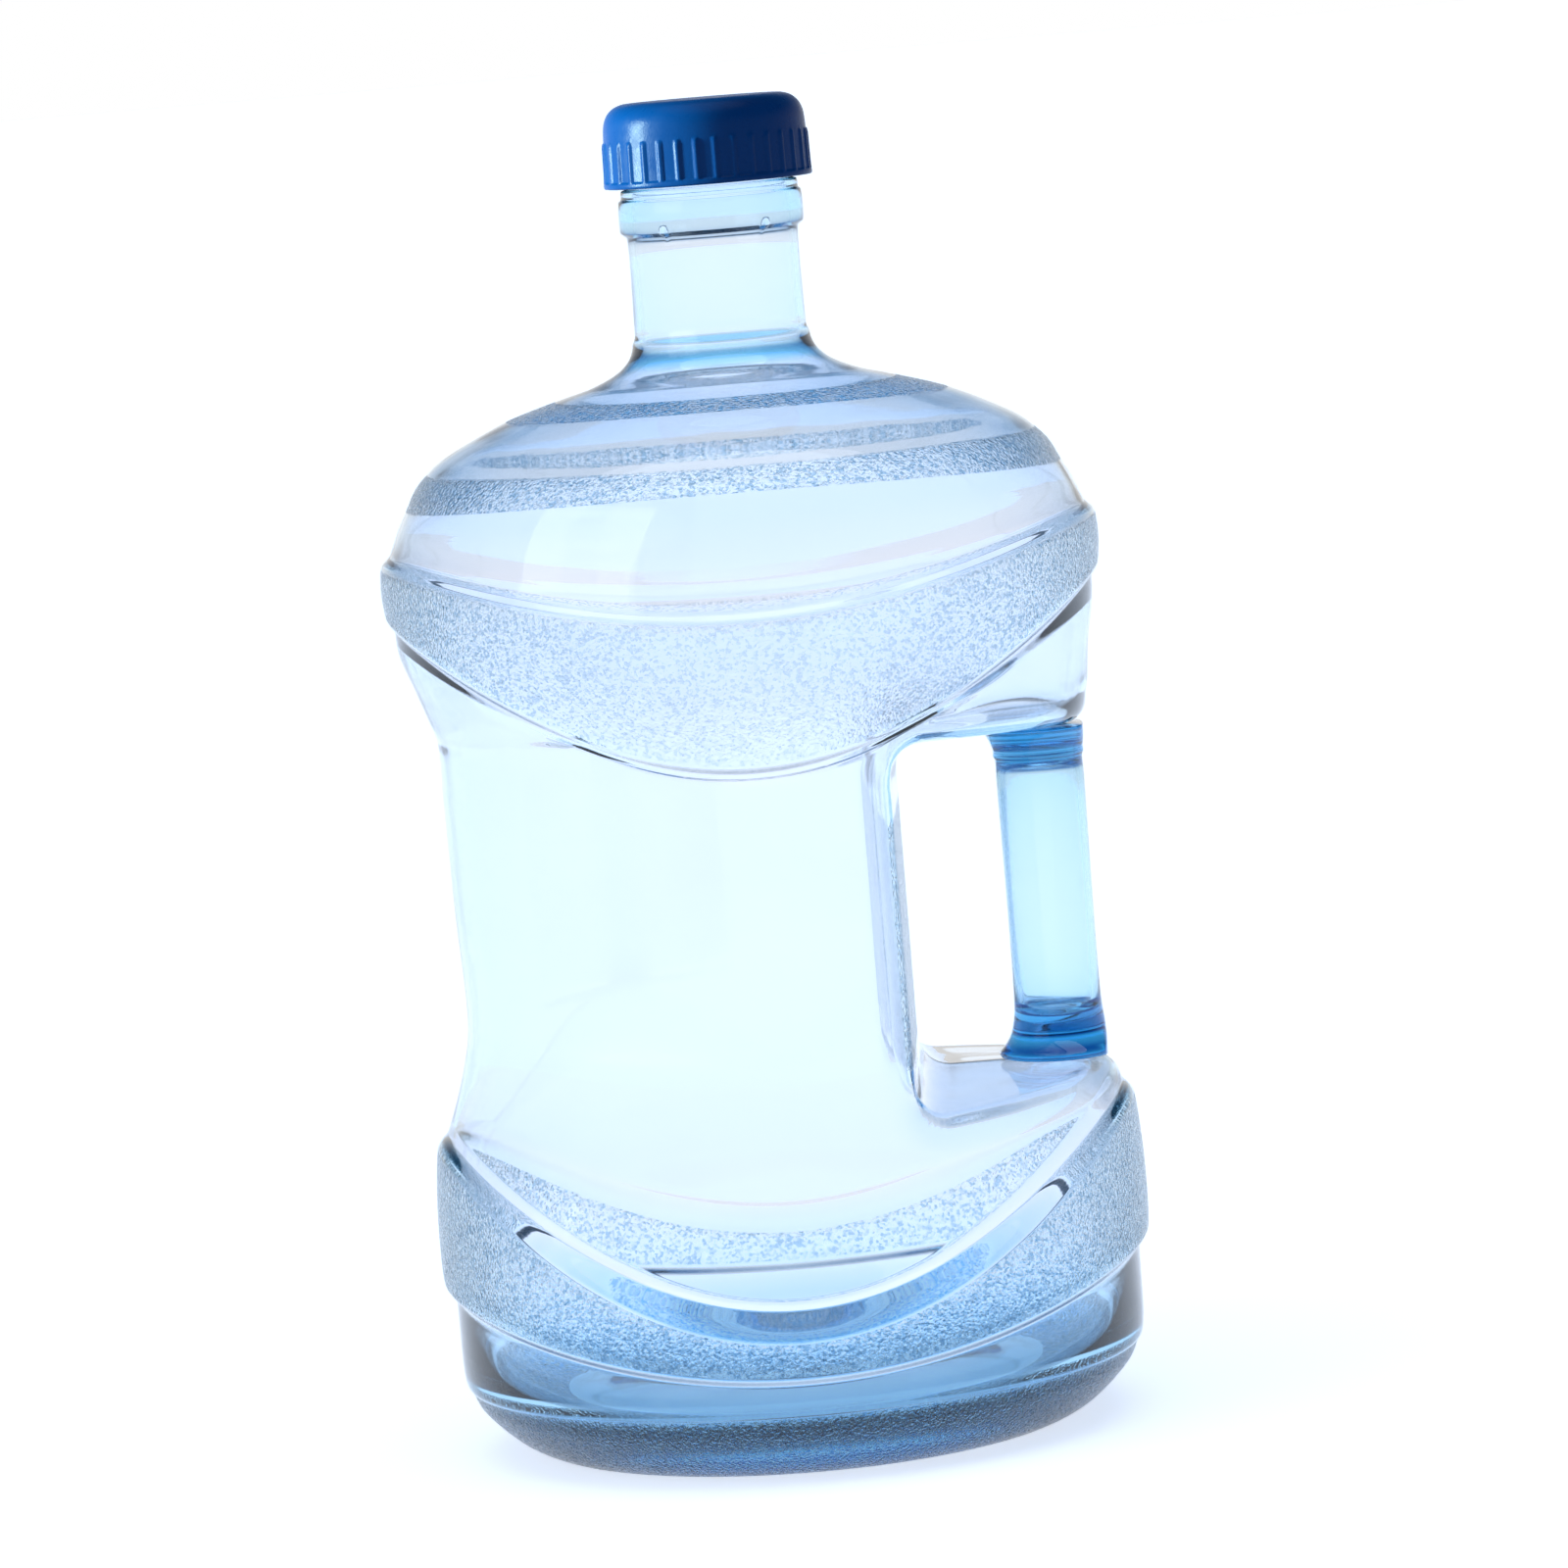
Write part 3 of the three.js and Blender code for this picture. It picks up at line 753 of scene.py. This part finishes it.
def cap_plastic():
    """Satin moulded plastic, a little paler where hands have rubbed it."""
    n = Nodes("blue_cap_plastic")
    s = n.shader
    s.inputs["Specular IOR Level"].default_value = 0.045
    colour = n.tinted(n.spread(n.noise(26, 4), 0, 1), (0.0004, 0.017, 0.074), (0.0006, 0.023, 0.092))
    n.join(colour, s.inputs["Base Color"])
    n.join(n.spread(n.noise(300, 4), 0.24, 0.36), s.inputs["Roughness"])
    fine = n.bump(n.noise(1800, 2), 0.00012, 0.35)
    n.join(n.bump(n.noise(60, 2), 0.0004, 0.15, fine), s.inputs["Normal"])
    return n.material


def liner_foam():
    """Closed-cell foam: off-white, with small soft cells."""
    n = Nodes("liner_foam")
    s = n.shader
    colour = n.tinted(n.spread(n.noise(120, 4), 0, 1), (0.74, 0.76, 0.77), (0.86, 0.87, 0.87))
    n.join(colour, s.inputs["Base Color"])
    n.join(n.spread(n.noise(400, 3), 0.5, 0.75), s.inputs["Roughness"])
    cells = n.add("ShaderNodeTexVoronoi", Scale=900.0)
    n.join(n.place, cells.inputs["Vector"])
    n.join(n.bump(cells.outputs["Distance"], 0.0002, 0.5), s.inputs["Normal"])
    return n.material


# ---- the floor, the light and the camera ----
def make_floor():
    bpy.ops.mesh.primitive_circle_add(vertices=96, radius=40, fill_type="NGON", location=(0, 0, -0.0005))
    floor = bpy.context.object
    floor.name = "floor"
    n = Nodes("floor_white")
    s = n.shader
    colour = n.tinted(n.spread(n.noise(6, 3), 0, 1), (0.90, 0.905, 0.91), (0.915, 0.92, 0.925))
    n.join(colour, s.inputs["Base Color"])
    s.inputs["Roughness"].default_value = 0.9
    s.inputs["Specular IOR Level"].default_value = 0.1
    s.inputs["Emission Color"].default_value = (1, 1, 1, 1)
    s.inputs["Emission Strength"].default_value = 0.62
    floor.data.materials.append(n.material)


def make_sky():
    """White at the horizon and deep blue overhead, the same all the way round."""
    world = bpy.data.worlds.new("studio")
    bpy.context.scene.world = world
    world.use_nodes = True
    tree = world.node_tree
    place = tree.nodes.new("ShaderNodeTexCoord")
    split = tree.nodes.new("ShaderNodeSeparateXYZ")
    tree.links.new(place.outputs["Generated"], split.inputs[0])
    ramp = tree.nodes.new("ShaderNodeValToRGB")
    ramp.color_ramp.elements[0].position = 0.03
    ramp.color_ramp.elements[0].color = (1.0, 1.0, 1.0, 1)
    ramp.color_ramp.elements[1].position = 0.40
    ramp.color_ramp.elements[1].color = (0.04, 0.21, 0.48, 1)
    tree.links.new(split.outputs["Z"], ramp.inputs[0])
    background = tree.nodes["Background"]
    tree.links.new(ramp.outputs[0], background.inputs["Color"])
    background.inputs["Strength"].default_value = 1.0


def lamp(name, place, size, power, target=(0, 0, 0.18), colour=(1, 1, 1)):
    data = bpy.data.lights.new(name, "AREA")
    data.shape = "RECTANGLE"
    data.size, data.size_y = size
    data.energy = power
    data.color = colour
    thing = bpy.data.objects.new(name, data)
    bpy.context.scene.collection.objects.link(thing)
    thing.location = place
    thing.rotation_euler = (Vector(target) - Vector(place)).to_track_quat("-Z", "Y").to_euler()
    return thing


def cap_lamp(cap):
    """A strip light from the left that falls on the cap only, for the soft streak on its side."""
    strip = lamp("cap_strip", (-1.5, -0.2, 0.55), (0.3, 0.8), 205, (0, 0, 0.36), (0.70, 1.0, 0.90))
    lit = bpy.data.collections.new("lit_by_cap_strip")
    lit.objects.link(cap)
    strip.light_linking.receiver_collection = lit


def make_lights():
    make_sky()
    sun = bpy.data.lights.new("overhead", "SUN")
    sun.energy = 1.1
    sun.angle = math.radians(60)
    overhead = bpy.data.objects.new("overhead", sun)
    bpy.context.scene.collection.objects.link(overhead)
    overhead.rotation_euler = (math.radians(8), 0, 0)
    lamp("left_box", (-1.7, -1.2, 1.1), (1.6, 1.6), 9)


def make_camera():
    """Looks from a little above the cap, leaning 4.7 degrees to the right, so that the jug leans left."""
    away, height, aside = 2.2, 0.404, 0.0072608
    down = math.radians(5.77)
    lean = math.radians(4.7)
    data = bpy.data.cameras.new("camera")
    data.sensor_width = 36
    data.lens = 182.025
    data.clip_start, data.clip_end = 0.05, 200
    camera = bpy.data.objects.new("camera", data)
    bpy.context.scene.collection.objects.link(camera)
    aim = Matrix.Rotation(math.pi / 2 - down, 4, "X")
    roll = Matrix.Rotation(-lean, 4, "Z")
    across = (aim @ roll) @ Vector((aside, 0, 0))
    camera.matrix_world = Matrix.Translation(Vector((0, -away, height)) + across) @ aim @ roll
    bpy.context.scene.camera = camera


# ---- put together ----
bpy.context.scene.view_settings.view_transform = "Standard"
make_floor()
make_lights()
make_camera()

shell = make_shell(clear_plastic())
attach(shell, "bottle")
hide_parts("bottle_shell")

grip = make_grip(grip_plastic())
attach(grip, "bottle")
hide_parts("handle_grip")

cap = make_cap(cap_plastic())
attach(cap, "cap")
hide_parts("cap_shell")
cap_lamp(cap)

liner = make_liner(liner_foam())
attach(liner, "liner")
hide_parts("cap_liner")
